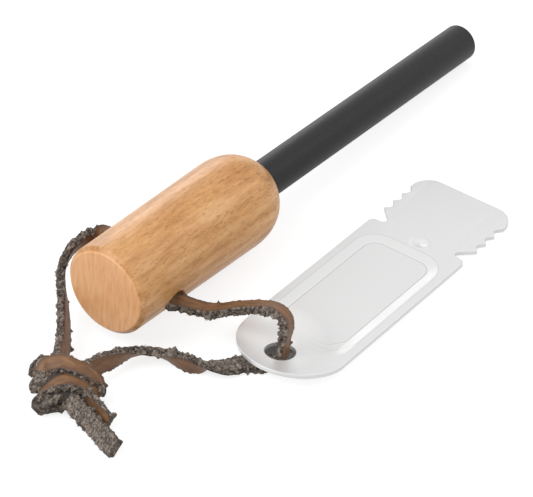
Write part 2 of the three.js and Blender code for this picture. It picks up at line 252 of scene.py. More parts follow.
def close_end(shape, ring, last):
    raw_layer, lump_layer = shape.verts.layers.float["raw"], shape.verts.layers.float["lump"]
    count = len(ring)
    centre = sum((v.co for v in ring), Vector()) / count
    inner = []
    for v in ring:
        w = shape.verts.new(centre.lerp(v.co, 0.9))
        w[raw_layer], w[lump_layer] = 1, 0.5
        inner.append(w)
    hub = shape.verts.new(centre)
    hub[raw_layer], hub[lump_layer] = 1, 0.6
    for k in range(count):
        n = (k + 1) % count
        for corners in ((ring[n], ring[k], inner[k], inner[n]), (inner[n], inner[k], hub)):
            shape.faces.new(corners[::-1] if last else corners)


# %% [markdown]
# A run is built ring by ring, and nothing of it goes below the table. Each point keeps how raw it is
# and how high its clump stands, and the material reads both. Swell is the size of the section at
# even steps along the run.

# %% Build a run of lace


def size_at(share, swell):
    if len(swell) == 1:
        return swell[0]
    reach = share * (len(swell) - 1)
    k = min(int(reach), len(swell) - 2)
    return swell[k] + (swell[k + 1] - swell[k]) * (reach - k)


def lace_run(name, rows, seed, closed=False, swell=(1,), tufts=()):
    line = smooth_line(rows, closed)
    total = line[-1][2]
    tufts = chance_tufts(total, seed) + list(tufts)
    shape = bmesh.new()
    shape.loops.layers.uv.new("lace")
    raw_layer, lump_layer = shape.verts.layers.float.new("raw"), shape.verts.layers.float.new("lump")
    rings, places = [], line[:-1] if closed else line
    for i, (p, way, along) in enumerate(places):
        q = places[(i + 1) % len(places)][0] if closed or i + 1 < len(places) else p
        o = places[i - 1][0] if closed or i else p
        tangent = (q - o).normalized()
        normal = (way - tangent * way.dot(tangent)).normalized()
        side = tangent.cross(normal)
        size = size_at(along / total, swell)
        ring = []
        for up, across, raw in SECTION:
            out, height = torn_out(along, up, across, raw, seed, tufts)
            outward = (normal * up / LACE_THICKNESS + side * across / LACE_WIDTH).normalized()
            wave = noise.noise(Vector((along * 0.25, across * 0.3, seed))) * 0.06
            on_section = (normal * up + side * across) * size
            v = shape.verts.new((p + on_section + outward * out + normal * wave) * MM)
            v.co.z = max(v.co.z, 0)
            v[raw_layer], v[lump_layer] = raw, height
            ring.append(v)
        rings.append(ring)
    join_rings(shape, rings, [along for _, _, along in line], closed)
    if not closed:
        close_end(shape, rings[0], False)
        close_end(shape, rings[-1], True)
    for face in shape.faces:
        face.smooth = True
    mesh = bpy.data.meshes.new(name)
    shape.to_mesh(mesh)
    shape.free()
    piece = bpy.data.objects.new(name, mesh)
    bpy.context.collection.objects.link(piece)
    print(name, "length", round(total, 1), "mm,", len(mesh.polygons), "faces")
    return piece, [p * MM for p, _, _ in line]


# %% [markdown]
# The lace starts in the middle of the hole that crosses the handle, which is rolled about the
# handle's axis. The handle is tilted: it rests on the shoulder of its nose, and the rod on its tip.

# %% Where the handle and the striker lie
ROD_RADIUS, ROD_SHOWN, ROD_SEAT = 4, 72, 25
HANDLE_LENGTH, BUTT_RADIUS, SHOULDER_RADIUS, NOSE_LENGTH = 47, 9.3, 9.75, 10
TILT = math.asin((SHOULDER_RADIUS - ROD_RADIUS) / (ROD_SHOWN + NOSE_LENGTH))
BUTT_HEIGHT = ROD_RADIUS * math.cos(TILT) + (HANDLE_LENGTH + ROD_SHOWN) * math.sin(TILT)
HANDLE = Matrix.Translation((0, 0, BUTT_HEIGHT)) @ Matrix.Rotation(TILT, 4, "Y")
HOLE_FROM_BUTT, HOLE_RADIUS, HOLE_ROLL = 10.6, 2.5, math.radians(25)
hole_way = HANDLE.to_3x3() @ Vector((0, math.cos(HOLE_ROLL), math.sin(HOLE_ROLL)))
hole_grain = HANDLE.to_3x3() @ Vector((0, -math.sin(HOLE_ROLL), math.cos(HOLE_ROLL)))
hole_middle = HANDLE @ Vector((HOLE_FROM_BUTT, 0, 0))
print("tilt", round(math.degrees(TILT), 2), "degrees, butt centre", round(BUTT_HEIGHT, 2), "mm up")


def in_hole(distance):
    return [*(hole_middle + hole_way * distance), *hole_grain]


# %% [markdown]
# From the handle's near mouth the lace arches over the striker and goes down through its hole. At
# the top of the arch it turns its grain side away to the right, which shows the grey inside of the
# leg that goes down. The striker turns about this leg, so the run bends between the two bodies.

# %% Over the striker
LEG = (15.2, -30.8)
over_rows = [
    in_hole(0), in_hole(-4), in_hole(-8), in_hole(-9.4),
    [10.9, -9.75, 7.45, 0.11, -0.21, 0.97], [11.9, -11.9, 6.9, 0.15, -0.12, 0.98],
    [12.7, -13.8, 6.7, 0.11, 0.05, 0.99], [13.7, -15.9, 6.9, 0.09, 0.25, 0.96],
    [15.2, -18.3, 7.6, 0.09, 0.39, 0.92], [15.9, -21.1, 8.9, 0.12, 0.44, 0.89],
    [16.2, -23.8, 10.2, 0.14, 0.44, 0.89], [16.2, -26.3, 11.4, 0.21, 0.35, 0.91],
    [16, -28.6, 12.1, 0.31, 0.02, 0.95], [15.9, -30.4, 11.6, 0.35, -0.59, 0.73],
    [15.8, -31.2, 10.1, 0.24, -0.94, 0.25], [15.6, -31.3, 8.5, 0.2, -0.98, -0.05],
    [15.35, -30.9, 6.3, 0.15, -0.99, 0], [*LEG, 4.6, 0.12, -0.99, 0], [*LEG, 3, 0.12, -0.99, 0],
]
hanging = ((30.7, 1, 0.7), (34.4, 1, 0.6), (36.6, 1, 0.7), (36.2, 0.3, 0.7), (37.3, -0.3, 0.9),
           (38.3, 0.3, 0.9), (39.4, -0.3, 0.9), (40.4, 0.3, 0.9), (41.4, -0.2, 0.9))
lace_over, over_path = lace_run("lace_over_the_striker", over_rows, seed=3.1, swell=(1,) * 7 + (0.95, 0.84),
                                 tufts=hanging)

# %% [markdown]
# Under the striker the lace lies flesh side up on the table. Past the striker it turns on edge, and
# runs on to the knot with its torn edge up and its grain side now towards the camera, now away.

# %% Under the striker and on to the knot
under_rows = [
    [*LEG, 3, 0.12, -0.99, 0], [15, -30.5, 1.8, 0.12, -0.65, -0.75], [14.5, -29.9, 1, 0.05, -0.1, -1],
    [12.9, -28.6, 0.85, 0, 0, -1], [11.1, -26.4, 0.86, 0, 0, -1], [10, -25.2, 0.95, 0, 0, -1],
    [8.4, -24.3, 1.1, 0, 0, -1], [6.9, -23.6, 1.4, -0.24, 0.03, -0.97],
    [5.8, -22.4, 1.8, -0.36, -0.09, -0.93],
    [4.8, -21.1, 2, -0.49, -0.33, -0.81], [3.7, -19.9, 2, -0.81, -0.45, -0.37],
    [3, -18.1, 2.1, -0.96, -0.27, -0.06], [2.6, -15.9, 2.1, -0.97, -0.15, -0.18],
    [2.4, -14.2, 2.2, -0.9, -0.16, -0.4], [1.9, -12.4, 2.3, -0.74, -0.24, -0.63],
    [0.8, -10.3, 2.5, -0.54, -0.28, -0.8], [-0.7, -8.7, 2.8, -0.51, -0.48, -0.71],
    [-2.3, -7.8, 3, -0.38, -0.74, -0.55], [-4.4, -7.2, 3.3, -0.3, -0.92, -0.23],
    [-6.6, -6.6, 3.6, -0.25, -0.96, 0.1], [-8.3, -6.2, 3.8, -0.15, -0.95, 0.28],
    [-10.1, -5.9, 4, -0.1, -0.92, 0.38], [-12.2, -5.2, 4, -0.1, -0.92, 0.38],
    [-14, -4.8, 4, -0.1, -0.92, 0.38],
]
lace_under, under_path = lace_run("lace_under_the_striker", under_rows, seed=8.4)

# %% [markdown]
# The other strand leaves the far mouth of the handle's hole and comes round the butt to the knot.
# Its grain side faces inwards, to the butt, so the camera sees its grey edge on the outside.

# %% Round the butt
butt_rows = [
    in_hole(0), in_hole(4), in_hole(7.5), [10.8, 8.5, 15.2, 0, -0.7, 0.7],
    [10.5, 10.9, 14, -0.1, -0.98, 0.15], [9.2, 11.9, 13.6, -0.2, -0.96, -0.1],
    [7.5, 12.8, 13, -0.14, -0.91, -0.4], [5.8, 13.4, 12.1, 0.14, -0.92, -0.37],
    [3.7, 13.3, 10.8, 0.37, -0.88, -0.29], [1.8, 12.6, 9, 0.6, -0.78, -0.18],
    [0, 10.8, 7.3, 0.66, -0.75, 0.01], [-1.9, 9, 5.8, 0.6, -0.77, 0.21],
    [-4.5, 6.6, 4.6, 0.58, -0.75, 0.32], [-8.2, 3.5, 4.2, 0.56, -0.74, 0.37],
    [-11.5, 1.1, 4.3, 0.54, -0.73, 0.41], [-13.6, -0.6, 4.3, 0.54, -0.73, 0.41],
]
lace_round, round_path = lace_run("lace_round_the_butt", butt_rows, seed=15.2)

# %% [markdown]
# The knot is an overhand knot tied with both strands together. Two turns lie side by side over its
# front, folds that turn back stand out on its left and right, and the two cut ends come out below.

# %% Knot's turns
knot_rows = {
    "knot_upper_turn": [
        [-18.2, -0.4, 5, -0.63, -0.1, 0.77], [-17.2, -0.3, 6, -0.67, -0.02, 0.75],
        [-16.7, -1.2, 6.8, -0.52, 0, 0.84], [-15.7, -2.8, 7.2, -0.32, -0.08, 0.94],
        [-15.2, -5, 7.1, -0.02, -0.18, 0.98], [-14.6, -6.7, 6.7, 0.18, -0.4, 0.88],
        [-13.9, -8.1, 5.6, 0.35, -0.61, 0.71], [-13.3, -8.8, 4.1, 0.21, -0.88, 0.41],
        [-13.4, -9.2, 2.6, -0.07, -0.99, -0.08], [-13.7, -8.4, 1.5, 0.5, -0.65, -0.57],
        [-13.9, -7.1, 1.1, 0.12, -0.16, -0.98], [-15.8, -4, 1, 0, 0, -1],
        [-17.7, -0.9, 1.1, -0.12, 0.16, -0.98],
        [-18, -0.4, 2.1, -0.52, 0.68, -0.51], [-18.5, 0, 3.6, -0.61, 0.79, 0.1],
    ],
    "knot_lower_turn": [
        [-22.4, -3.4, 4.2, -0.01, 0.73, 0.68], [-21.2, -4.1, 5, -0.15, 0.64, 0.76],
        [-19.7, -4.6, 5.5, -0.2, 0.41, 0.89], [-18.5, -5.3, 5.8, -0.13, 0.16, 0.98],
        [-17.5, -6.4, 5.9, 0.03, 0.02, 1], [-16.8, -7.6, 5.6, 0.19, -0.2, 0.96],
        [-16.1, -8.9, 5, 0.3, -0.49, 0.82], [-15.8, -9.7, 4.1, 0.34, -0.74, 0.58],
        [-15.5, -10.4, 3, 0.21, -0.97, 0.12], [-15.5, -10, 1.6, 0.52, -0.68, -0.51],
        [-16.4, -8.3, 1.1, 0.12, -0.16, -0.98], [-18.3, -5.9, 1, 0, 0, -1],
        [-20.6, -4.2, 1.1, -0.12, 0.16, -0.98],
        [-22.4, -3.2, 1.8, -0.45, 0.73, -0.51], [-22.8, -3.1, 3.1, -0.15, 0.98, 0.1],
    ],
}
knot_pieces = []
for i, (name, rows) in enumerate(knot_rows.items()):
    piece, _ = lace_run(name, rows, seed=21.0 + 7 * i, closed=True, swell=(0.92,))
    knot_pieces.append(piece)

# %% [markdown]
# The folds show their flesh side. Each starts and ends inside the knot, thinner at both ends.

# %% Knot's folds
fold_rows = {
    "knot_fold_behind": [
        [-14.4, 2.4, 4.2, 0.03, 0.59, -0.81], [-16.4, 2.2, 4.2, 0.18, 0.56, -0.81],
        [-17.7, 2.1, 3.7, 0.41, 0.59, -0.7], [-18.3, 2, 2.9, 0.39, 0.72, -0.58],
    ],
    "knot_fold_left": [
        [-18.2, -1.4, 5.2, 0.29, 0.58, -0.76], [-19.7, -1.2, 4.8, 0.37, 0.55, -0.75],
        [-20.9, -1.1, 4.1, 0.58, 0.55, -0.6], [-21.4, -1.3, 3, 0.57, 0.71, -0.42],
    ],
    "knot_fold_below": [
        [-19.3, -5.8, 4.6, 0.27, 0.62, -0.74], [-21.1, -5.2, 4.5, 0.35, 0.59, -0.73],
        [-22.5, -4.6, 4.1, 0.64, 0.48, -0.6], [-23, -3.8, 3.4, 0.85, 0.14, -0.4],
        [-22.6, -2.9, 2.8, 0.7, 0.5, -0.5],
    ],
    "knot_fold_right": [
        [-13.3, -9.8, 4.4, 0.79, -0.6, -0.06], [-13.8, -10.4, 3.4, 0.78, -0.56, -0.28],
        [-14.4, -10.5, 2.5, 0.73, -0.54, -0.42],
    ],
}
for i, (name, rows) in enumerate(fold_rows.items()):
    piece, _ = lace_run(name, rows, seed=61.0 + 5 * i, swell=(0.55, 0.8, 0.8, 0.55))
    knot_pieces.append(piece)

# %% [markdown]
# The front loose end shows the camera its flesh side. The back one stands on its edge behind it,
# with a thin strip of its grain side in sight.

# %% Loose ends
front_rows = [
    [-18.2, -3.4, 4.2, 0.75, 0.2, -0.6], [-18.8, -6.5, 3.4, 0.77, 0.15, -0.62],
    [-19.1, -8.4, 2.7, 0.77, 0.11, -0.63], [-19.5, -10.4, 2.1, 0.72, -0.09, -0.68],
    [-20.4, -13.3, 1.9, 0.7, -0.22, -0.68], [-21.3, -16.3, 1.9, 0.69, -0.24, -0.68],
    [-22.4, -19.3, 1.9, 0.7, -0.26, -0.66], [-23.3, -21.8, 1.93, 0.74, -0.27, -0.62],
]
back_rows = [
    [-16.2, -4.6, 4.2, -0.95, 0.3, -0.05], [-16.5, -8.4, 3.8, -0.95, 0.26, -0.05],
    [-17, -10.2, 3.2, -0.93, 0.22, 0.1], [-17.5, -12.1, 2.7, -0.88, 0.17, 0.3],
    [-17.9, -14.4, 2.2, -0.84, 0.15, 0.42], [-18.4, -16.4, 1.9, -0.82, 0.12, 0.5],
]
front_end, _ = lace_run("lace_front_end", front_rows, seed=41.0)
back_end, _ = lace_run("lace_back_end", back_rows, seed=52.0, swell=(1, 1, 0.95, 0.75))

# %% [markdown]
# Inside the turns the lace is pressed into a solid wad, so a rounded lump fills the middle.

# %% Knot's middle
nothing_selected()
WAD_MIDDLE, WAD_HALF, WAD_TURN = (-16.9, -4.6, 3.5), (4.9, 3.9, 2.7), math.atan2(-0.7915, 0.6111)
bpy.ops.mesh.primitive_uv_sphere_add(segments=64, ring_count=32, radius=1, location=at(*WAD_MIDDLE))
knot_middle = made("knot_middle")
knot_middle.scale = Vector(WAD_HALF) * MM
knot_middle.rotation_euler = (0, 0, WAD_TURN)
bpy.ops.object.transform_apply(location=True, rotation=True, scale=True)
for v in knot_middle.data.vertices:
    v.co += v.normal * (clumps(v.co / MM) - 0.4) * 0.5 * MM
bpy.ops.object.shade_smooth()
print("knot middle", len(knot_middle.data.polygons), "faces")

# %% [markdown]
# Hairs stand out of the torn sides in small clusters. Each is a bent spike of three sides, several
# times as thick as real leather fibre, which would vanish in the picture. None grow in the striker's
# hole, where the steel rubs them off.

# %% Loose fibres
HAIRS_PER_MM, LONGEST_HAIR = 3, 0.55
BALD_NEAR_HOLE = 5


def add_hair(shape, dice, centre, normal, lean):
    """One bent spike, from a foot in the skin. None is made where its tip would be in the table."""
    way = (normal + lean + Vector([dice.uniform(-0.35, 0.35) for _ in range(3)])).normalized()
    bend = Vector([dice.uniform(-0.4, 0.4) for _ in range(3)])
    long, thick = LONGEST_HAIR * dice.uniform(0.3, 1) * MM, dice.uniform(0.06, 0.13) * MM
    across = way.orthogonal().normalized()
    third = way.cross(across)
    beside = across * dice.uniform(-1, 1) + third * dice.uniform(-1, 1)
    foot = centre - normal * 0.12 * MM + beside * 0.2 * MM
    tip_place = foot + (way + bend) * long
    if tip_place.z < 0.1 * MM:
        return
    low, high = [], []
    for ring, t in ((low, 0), (high, 0.5)):
        spot, wide = foot + (way * t + bend * t * t) * long, thick * (1 - 0.6 * t)
        for turn in (0, 2.094, 4.189):
            ring.append(shape.verts.new(spot + (across * math.cos(turn) + third * math.sin(turn)) * wide))
    tip = shape.verts.new(tip_place)
    for j in range(3):
        n = (j + 1) % 3
        shape.faces.new((low[j], low[n], high[n], high[j]))
        shape.faces.new((high[j], high[n], tip))
    shape.faces.new(low[::-1])
    raw, lump = shape.verts.layers.float["raw"], shape.verts.layers.float["lump"]
    for v in (*low, *high, tip):
        v[raw] = 1
        v[lump] = 0.35 + 0.55 * dice.random()


def add_fibres(piece, seed):
    dice = random.Random(seed)
    shape = bmesh.new()
    shape.from_mesh(piece.data)
    uv = shape.loops.layers.uv["lace"]
    raw, lump = shape.verts.layers.float["raw"], shape.verts.layers.float["lump"]
    length = max(loop[uv].uv.x for f in shape.faces for loop in f.loops) / MM
    torn = [(f.calc_center_median(), f.normal.copy()) for f in shape.faces
            if all(v[raw] > 0.9 and v[lump] > 0.3 for v in f.verts)]
    torn = [(place, way) for place, way in torn if (place - at(*LEG, 3)).length > BALD_NEAR_HOLE * MM]
    for _ in range(int(HAIRS_PER_MM * length)):
        centre, normal = dice.choice(torn)
        lean = Vector((dice.uniform(-1, 1), dice.uniform(-1, 1), dice.uniform(-1, 0.6))) * 0.6
        for _ in range(dice.randint(2, 5)):
            add_hair(shape, dice, centre, normal, lean)
    shape.to_mesh(piece.data)
    shape.free()


laces = [lace_over, lace_under, lace_round, *knot_pieces, front_end, back_end]
for i, piece in enumerate(laces):
    add_fibres(piece, seed=100 + i)
print("lace faces", sum(len(p.data.polygons) for p in laces))

# %% [markdown]
# ## Materials
#
# One small function turns a hex colour into the linear values that shaders need, and one adds a
# node with its settings, values and links.

# %% Colour and node helpers


def colour(code):
    parts = [int(code[i:i + 2], 16) / 255 for i in (1, 3, 5)]
    return [p / 12.92 if p <= 0.04045 else ((p + 0.055) / 1.055) ** 2.4 for p in parts] + [1]


def connect(tree, node, inputs):
    """Link sockets to a node's inputs, and set the inputs that are given a plain value."""
    for name, value in inputs.items():
        if isinstance(value, bpy.types.NodeSocket):
            tree.links.new(value, node.inputs[name])
        else:
            node.inputs[name].default_value = value


def add(tree, kind, inputs=None, **settings):
    node = tree.nodes.new("ShaderNode" + kind)
    for name, value in settings.items():
        setattr(node, name, value)
    connect(tree, node, inputs or {})
    return node


def new_material(name, base, roughness, **sockets):
    material = bpy.data.materials.new(name)
    material.use_nodes = True
    tree = material.node_tree
    shader = tree.nodes["Principled BSDF"]
    connect(tree, shader, {"Base Color": colour(base), "Roughness": roughness})
    connect(tree, shader, {socket.replace("_", " "): value for socket, value in sockets.items()})
    return material, tree, shader


# %% [markdown]
# Short helpers name the steps that the materials repeat.

# %% Steps that materials share


def object_space(tree):
    return add(tree, "TexCoord").outputs["Object"]


def stretched(tree, where, scale, turn=(0, 0, 0)):
    return add(tree, "Mapping", {"Vector": where, "Rotation": turn, "Scale": scale}).outputs[0]


def noisy(tree, where, scale=1.0, detail=2.0, roughness=0.5):
    settings = {"Vector": where, "Scale": scale, "Detail": detail, "Roughness": roughness}
    return add(tree, "TexNoise", settings).outputs["Fac"]


def maths(tree, operation, *values):
    return add(tree, "Math", dict(enumerate(values)), operation=operation).outputs[0]


def ranged(tree, value, low, high, to_low=0.0, to_high=1.0):
    ends = {"From Min": low, "From Max": high, "To Min": to_low, "To Max": to_high}
    return add(tree, "MapRange", {"Value": value, **ends}).outputs[0]


def ramp(tree, share, *stops):
    node = add(tree, "ValToRGB", {0: share})
    elements = node.color_ramp.elements
    while len(elements) < len(stops):
        elements.new(0.5)
    for element, (place, code) in zip(elements, stops):
        element.position, element.color = place, colour(code)
    return node.outputs[0]


def mixed(tree, share, first, second):
    """A colour that is the first one where the share is 0, and the second one where it is 1."""
    return add(tree, "Mix", {0: share, 6: first, 7: second}, data_type="RGBA").outputs[2]


def bumped(tree, height, strength, distance):
    return add(tree, "Bump", {"Strength": strength, "Distance": distance, "Height": height}).outputs[0]


def distance_from(tree, spot):
    """Distance in metres from a point on the bench."""
    ends = {0: object_space(tree), 1: at(*spot)}
    return add(tree, "VectorMath", ends, operation="DISTANCE").outputs["Value"]


# %% [markdown]
# The grain side of the lace is waxed brown with fine pores, and a little darker along its borders.
# The torn sides are grey fibre, and darker on the cut edges than on the flesh side. Painted light and
# shade lie on them too: they are lighter on the clumps and nearly black in the valleys between them,
# as shade falls there. The two attributes of the mesh tell the shader how raw a place is and how high
# it stands, and the height sets this painted shade.

# %% Leather, grain side
leather, tree, shader = new_material("waxed_leather_with_torn_edges", "#7f5b3d", 0.62,
                                     Specular_IOR_Level=0.35)
place = add(tree, "UVMap", uv_map="lace").outputs[0]
off_middle = maths(tree, "ABSOLUTE", add(tree, "SeparateXYZ", {0: place}).outputs["Y"])
streak = noisy(tree, stretched(tree, place, (250, 700, 1)), detail=5.0, roughness=0.7)
brown = ramp(tree, streak, (0.3, "#59402b"), (0.5, "#77563c"), (0.72, "#936d4d"))
border = ranged(tree, off_middle, 0.0009, 0.0017, 0.0, 0.65)
grain_colour = mixed(tree, border, brown, colour("#3f2e24"))
print("leather grain nodes", len(tree.nodes))

# %% Leather, torn sides
torn = add(tree, "Attribute", attribute_name="raw").outputs["Fac"]
lump = add(tree, "Attribute", attribute_name="lump").outputs["Fac"]
space = object_space(tree)
wool = noisy(tree, space, 2300.0, 5.0, 0.62)
raw = ranged(tree, maths(tree, "MULTIPLY_ADD", wool, 0.6, torn), 0.65, 0.95)
cut_edge = ranged(tree, off_middle, 0.003, 0.0036, -0.09, -0.02)
# Painted shade: the higher a clump stands, the lighter its grey, and the valleys between the clumps are
# painted nearly black.
tall = maths(tree, "ADD", wool, maths(tree, "MULTIPLY_ADD", lump, 0.34, cut_edge))
grey = ramp(tree, tall, (0.36, "#181412"), (0.52, "#554c46"), (0.69, "#84796f"), (0.9, "#b0a79f"))
pores = add(tree, "TexVoronoi", {"Vector": space, "Scale": 2600.0}, feature="DISTANCE_TO_EDGE")
relief = add(tree, "Mix", {0: raw, 2: pores.outputs[0], 3: wool}).outputs[0]
strength = ranged(tree, raw, 0.0, 1.0, 0.15, 0.5)
connect(tree, shader, {"Base Color": mixed(tree, raw, grain_colour, grey),
                       "Roughness": ranged(tree, raw, 0.0, 1.0, 0.5, 0.95),
                       "Normal": bumped(tree, relief, strength, 0.00015)})
print("leather nodes", len(tree.nodes))

# %% [markdown]
# The wad inside the knot is hardly seen: it is the same raw fibre, with its deep shade painted into a darker
# colour.

# %% Knot's wad
wad, tree, shader = new_material("raw_leather_fibre_with_painted_shade", "#4c4541", 0.95)
wool = noisy(tree, object_space(tree), 2400.0, 4.0, 0.7)
connect(tree, shader, {"Base Color": ramp(tree, wool, (0.35, "#211d1b"), (0.65, "#5c534e")),
                       "Normal": bumped(tree, wool, 0.8, 0.0002)})
print("wad nodes", len(tree.nodes))

# %% [markdown]
# Now the lace gets its materials and its bodies. The run over the striker bends where it reaches the
# striker's hole, and the run under the striker bends back again.


def dress(piece, material):
    piece.data.materials.clear()
    piece.data.materials.append(material)
    print(piece.name, "wears", material.name)


for piece in laces:
    dress(piece, leather)
dress(knot_middle, wad)
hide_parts("lace_over_striker", "lace_in_handle", "lace_in_striker")
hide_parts("lace_under_striker")
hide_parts("lace_round_butt")
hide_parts("lace_knot")
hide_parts("lace_end_front")
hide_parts("lace_end_back")
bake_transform(lace_over, "root", "lace_bight", start=at(15.9, -30.4, 11.6), end=at(15.9, -33.85, 8.56))
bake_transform(lace_under, "lace_bight", "root", start=at(15.6, -31.0, 1), end=at(12.3, -26.6, 1))
on_knot = [knot_middle, *knot_pieces, front_end, back_end]
for piece in (lace_round, *on_knot):
    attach(piece, "root")


def path_length(path):
    return sum((b - a).length for a, b in zip(path, path[1:]))


for piece, path, far_end, others in (
        (lace_over, over_path, "object", []), (lace_under, under_path, "knot", on_knot),
        (lace_round, round_path, "knot", on_knot)):
    print(piece.name, "declared at", round(path_length(path) / MM, 1), "mm")

# %% [markdown]
# ## Beech handle
#
# A wood turner starts from a round bar and cuts along its axis, so the handle is a primitive
# cylinder drawn out ring by ring: the chamfer round the butt, the slight taper, the full round nose,
# and back down into the bore that takes the rod. The chamfer's two rims are eased, and they catch
# the light as two thin lines. The handle is made standing up, with its axis on Z.

# %% The handle's profile
HANDLE_SIDES, BORE_RADIUS, LIP, CHAMFER = 128, 4.15, 0.2, 0.95
BUTT_EASE, SIDE_EASE, NOSE_FULL, BORE_PAST_ROD = 0.15, 0.2, 2.4, 1.5
SHOULDER_AT = HANDLE_LENGTH - NOSE_LENGTH


def eased_corner(corner, way_in, way_out, reach, steps=4):
    """Points of a short curve that rounds off a corner of the profile."""
    start, end = Vector(corner) - Vector(way_in) * reach, Vector(corner) + Vector(way_out) * reach
    turns = [i / steps for i in range(steps + 1)]
    return [tuple(start * (1 - t) ** 2 + Vector(corner) * 2 * t * (1 - t) + end * t * t) for t in turns]


slant = (math.sqrt(0.5), math.sqrt(0.5))
profile = eased_corner((0, BUTT_RADIUS - CHAMFER), (0, 1), slant, BUTT_EASE)
profile += eased_corner((CHAMFER, BUTT_RADIUS), slant, (1, 0), SIDE_EASE)
for i in range(1, 16):
    share = i / 15
    profile.append((CHAMFER + SIDE_EASE + (SHOULDER_AT - CHAMFER - SIDE_EASE) * share,
                    BUTT_RADIUS + (SHOULDER_RADIUS - BUTT_RADIUS) * share))
for i in range(1, 29):
    share = math.sin(math.pi / 2 * i / 28)
    fall = (SHOULDER_RADIUS ** 2 - (BORE_RADIUS + LIP) ** 2) * share ** NOSE_FULL
    profile.append((SHOULDER_AT + NOSE_LENGTH * share, math.sqrt(SHOULDER_RADIUS ** 2 - fall)))
profile += [(HANDLE_LENGTH, BORE_RADIUS), (HANDLE_LENGTH - ROD_SEAT - BORE_PAST_ROD, BORE_RADIUS)]
print("handle profile", len(profile), "rings")

# %% [markdown]
# Each new ring is extruded from the last one and resized about the axis.

# %% Turn the handle
nothing_selected()
(z0, r0), (z1, r1) = profile[:2]
bpy.ops.mesh.primitive_cylinder_add(vertices=HANDLE_SIDES, radius=r0, depth=z1 - z0,
                                    location=(0, 0, (z0 + z1) / 2))
handle = made("beech_handle")
bpy.ops.object.transform_apply(location=True)
bpy.ops.object.mode_set(mode="EDIT")
bpy.ops.mesh.select_mode(type="FACE")
bpy.ops.mesh.select_all(action="DESELECT")
shape = bmesh.from_edit_mesh(handle.data)
for face in shape.faces:
    face.select_set(face.normal.z > 0.9)
bmesh.update_edit_mesh(handle.data)
bpy.ops.transform.resize(value=(r1 / r0, r1 / r0, 1), center_override=(0, 0, z1))
for (z0, r0), (z1, r1) in zip(profile[1:], profile[2:]):
    bpy.ops.mesh.extrude_region_move(TRANSFORM_OT_translate={"value": (0, 0, z1 - z0)})
    bpy.ops.transform.resize(value=(r1 / r0, r1 / r0, 1), center_override=(0, 0, z1))
bpy.ops.object.mode_set(mode="OBJECT")
print("handle", len(handle.data.polygons), "faces")

# %% [markdown]
# The hole for the lace is drilled right across with a Boolean. One function adds a modifier, sets it
# and applies it.

# %% Drill the cross hole
drill_way = Vector((-math.sin(HOLE_ROLL), math.cos(HOLE_ROLL), 0))


def pick(piece):
    nothing_selected()
    piece.select_set(True)
    bpy.context.view_layer.objects.active = piece


def modify(piece, kind, **settings):
    pick(piece)
    bpy.ops.object.modifier_add(type=kind)
    modifier = piece.modifiers[-1]
    for name, value in settings.items():
        setattr(modifier, name, value)
    bpy.ops.object.modifier_apply(modifier=modifier.name)


nothing_selected()
bpy.ops.mesh.primitive_cylinder_add(vertices=64, radius=HOLE_RADIUS, depth=24,
                                    location=(0, 0, HOLE_FROM_BUTT),
                                    rotation=drill_way.to_track_quat("Z", "Y").to_euler())
drill = bpy.context.object
modify(handle, "BOOLEAN", object=drill, operation="DIFFERENCE", solver="EXACT")
bpy.data.objects.remove(drill)
print("drilled handle", len(handle.data.polygons), "faces")

# %% [markdown]
# The two mouths of the hole are broken with a small bevel. Their edges are found by their place:
# they lie on the drill's surface and on the outside of the handle.

# %% Break the edges of the mouths
MOUTH_BEVEL, DRILL_PLAY, OUTSIDE = 0.3, 0.02, 9


def on_mouth(v):
    offset = v.co - Vector((0, 0, HOLE_FROM_BUTT))
    from_drill = (offset - drill_way * offset.dot(drill_way)).length
    return abs(from_drill - HOLE_RADIUS) < DRILL_PLAY and math.hypot(v.co.x, v.co.y) > OUTSIDE


shape = bmesh.new()
shape.from_mesh(handle.data)
mouth = [edge for edge in shape.edges if all(on_mouth(v) for v in edge.verts)]
bmesh.ops.bevel(shape, geom=mouth, offset=MOUTH_BEVEL, segments=3, affect="EDGES", profile=0.5)
shape.to_mesh(handle.data)
shape.free()
print("mouth edges", len(mouth))

# %% [markdown]
# A finished piece is laid in its place by moving its mesh, so its object stays at the origin. Then
# every edge that is flatter than an angle is smoothed.

# %% Lay a piece down
ON_HANDLE_AXIS = HANDLE @ Matrix.Rotation(math.pi / 2, 4, "Y")


def lay(piece, place_on_bench, angle):
    piece.data.transform(Matrix.Translation(BENCH * MM) @ Matrix.Scale(MM, 4) @ place_on_bench)
    piece.data.update()
    pick(piece)
    bpy.ops.object.shade_smooth_by_angle(angle=math.radians(angle))


lay(handle, ON_HANDLE_AXIS, 30)
print("handle laid down")
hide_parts("handle")
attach(handle, "root")

# %% [markdown]
# ## Ferro rod
#
# The rod is cast and ground round, then dipped in a dark coating: a cylinder with a bevelled rim.

# %% Rod
nothing_selected()
rod_long = ROD_SHOWN + ROD_SEAT
bpy.ops.mesh.primitive_cylinder_add(vertices=96, radius=ROD_RADIUS, depth=rod_long,
                                    location=(0, 0, HANDLE_LENGTH - ROD_SEAT + rod_long / 2))
rod = made("ferrocerium_rod")
bpy.ops.object.transform_apply(location=True)
modify(rod, "BEVEL", width=0.45, segments=4, limit_method="ANGLE", angle_limit=math.radians(60))
lay(rod, ON_HANDLE_AXIS, 35)
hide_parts("ferro_rod")
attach(rod, "root")

# %% [markdown]
# ## Steel striker
#
# The striker is blanked from 1 mm sheet, so its outline is drawn once as a flat curve and filled.
# One end is a half circle with the hole for the lace. The other has a rounded notch on each side
# and a row of small teeth behind it. The second edge is the first one mirrored.

